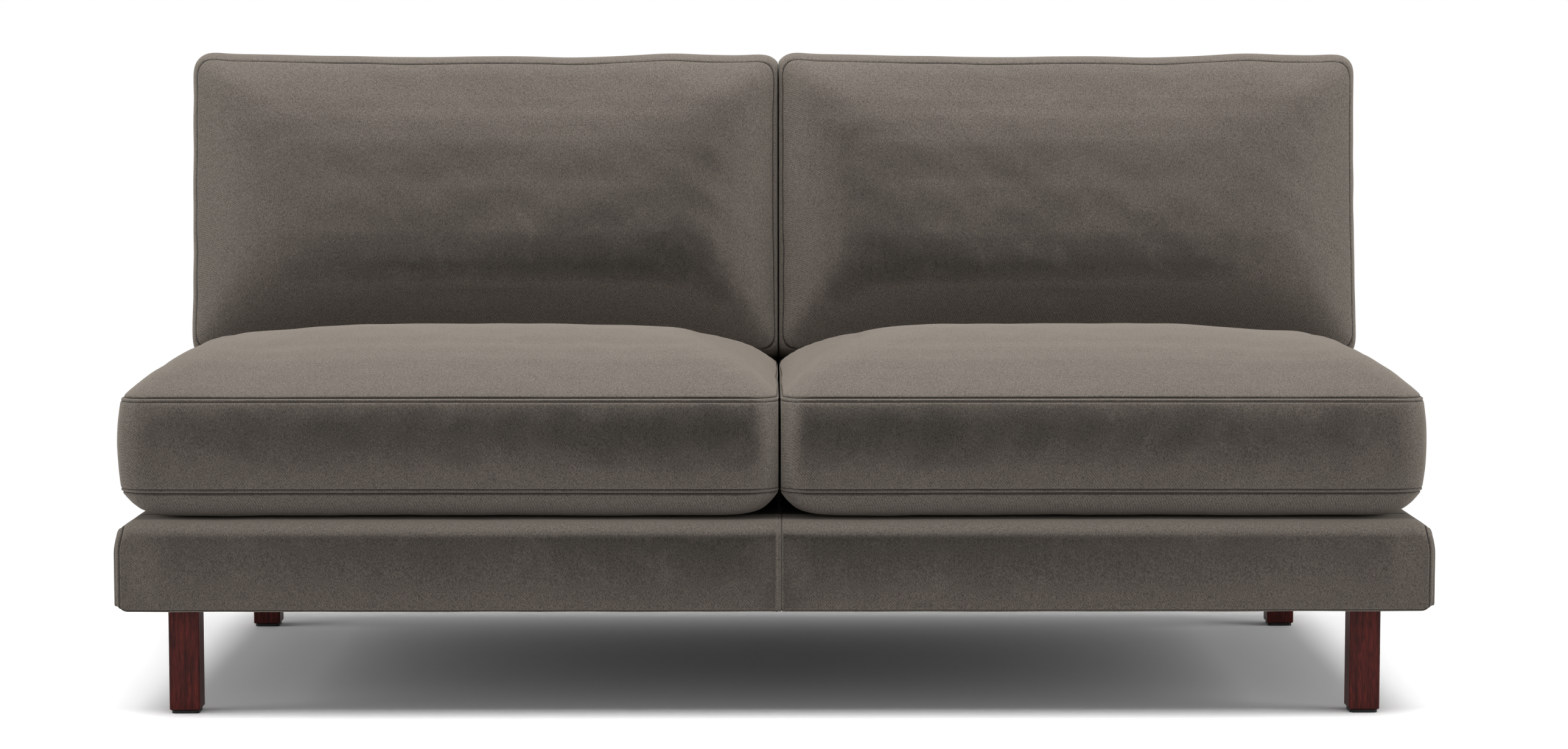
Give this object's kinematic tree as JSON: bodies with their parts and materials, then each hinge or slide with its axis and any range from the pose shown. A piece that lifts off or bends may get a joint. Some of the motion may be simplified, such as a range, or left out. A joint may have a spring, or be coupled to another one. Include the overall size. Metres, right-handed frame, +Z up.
{
  "type": "armless sofa",
  "caption": "Armless upholstered sofa on square wooden legs, with loose crowned seat cushions, loose boxed back cushions and a fixed padded back.",
  "frame": {"origin": "on the floor, under the middle of the base", "axes": "+X to the right as one faces the sofa, +Y from its front to its back, +Z up"},
  "size_m": [1.83, 0.965, 0.9311],
  "materials": {
    "velvet": "warm taupe-grey brushed velvet, matt with a soft sheen at grazing angles",
    "deck_lining": "plain woven lining in the velvet's colour",
    "cambric": "black non-woven cambric",
    "foam": "cream upholstery foam with a fibre wrap",
    "webbing": "woven elastic webbing",
    "frame_wood": "planed kiln-dried hardwood, unfinished",
    "leg_wood": "dark red-brown stained hardwood with a satin lacquer",
    "spring_steel": "drawn spring wire and folded steel clips",
    "plated_steel": "bright zinc plate",
    "glide_plastic": "black moulded plastic"
  },
  "bodies": {
    "frame": {"front_cover_left": "velvet", "front_cover_right": "velvet", "side_cover_left": "velvet", "side_cover_right": "velvet", "back_border_left": "velvet", "back_border_right": "velvet", "inside_back_cover": "velvet", "outside_back_cover": "velvet", "deck_cover": "deck_lining", "dust_cover": "cambric", "front_pad": "foam", "side_pad_left": "foam", "side_pad_right": "foam", "deck_pad": "foam", "back_pad": "foam", "back_webbing": "webbing", "front_rail": "frame_wood", "rear_rail": "frame_wood", "side_rail_left": "frame_wood", "side_rail_right": "frame_wood", "spring_rail": "frame_wood", "centre_stretcher": "frame_wood", "corner_blocks": "frame_wood", "lower_back_rail": "frame_wood", "top_back_rail": "frame_wood", "back_post_left": "frame_wood", "back_post_centre": "frame_wood", "back_post_right": "frame_wood", "leg_front_left": "leg_wood", "leg_front_right": "leg_wood", "leg_rear_left": "leg_wood", "leg_rear_right": "leg_wood", "seat_springs": "spring_steel", "spring_clips": "spring_steel", "leg_bolts": "plated_steel", "leg_tee_nuts": "plated_steel", "glide_front_left": "glide_plastic", "glide_front_right": "glide_plastic", "glide_rear_left": "glide_plastic", "glide_rear_right": "glide_plastic"},
    "seat_cushion_left": {"seat_cover_left": "velvet", "seat_core_left": "foam"},
    "seat_cushion_right": {"seat_cover_right": "velvet", "seat_core_right": "foam"},
    "back_cushion_left": {"back_cover_left": "velvet", "back_core_left": "foam"},
    "back_cushion_right": {"back_cover_right": "velvet", "back_core_right": "foam"}
  },
  "joints": [
    {"name": "seat_cushion_left_pull_out", "type": "slide", "parent": "frame", "child": "seat_cushion_left", "axis": [0, -1, 0], "range_m": [0, 0.85]},
    {"name": "back_cushion_left_lift_off", "type": "slide", "parent": "frame", "child": "back_cushion_left", "axis": [0, 0, 1], "range_m": [0, 0.5]},
    {"name": "seat_cushion_right_pull_out", "type": "slide", "parent": "frame", "child": "seat_cushion_right", "axis": [0, -1, 0], "range_m": [0, 0.85]},
    {"name": "back_cushion_right_lift_off", "type": "slide", "parent": "frame", "child": "back_cushion_right", "axis": [0, 0, 1], "range_m": [0, 0.5]}
  ]
}
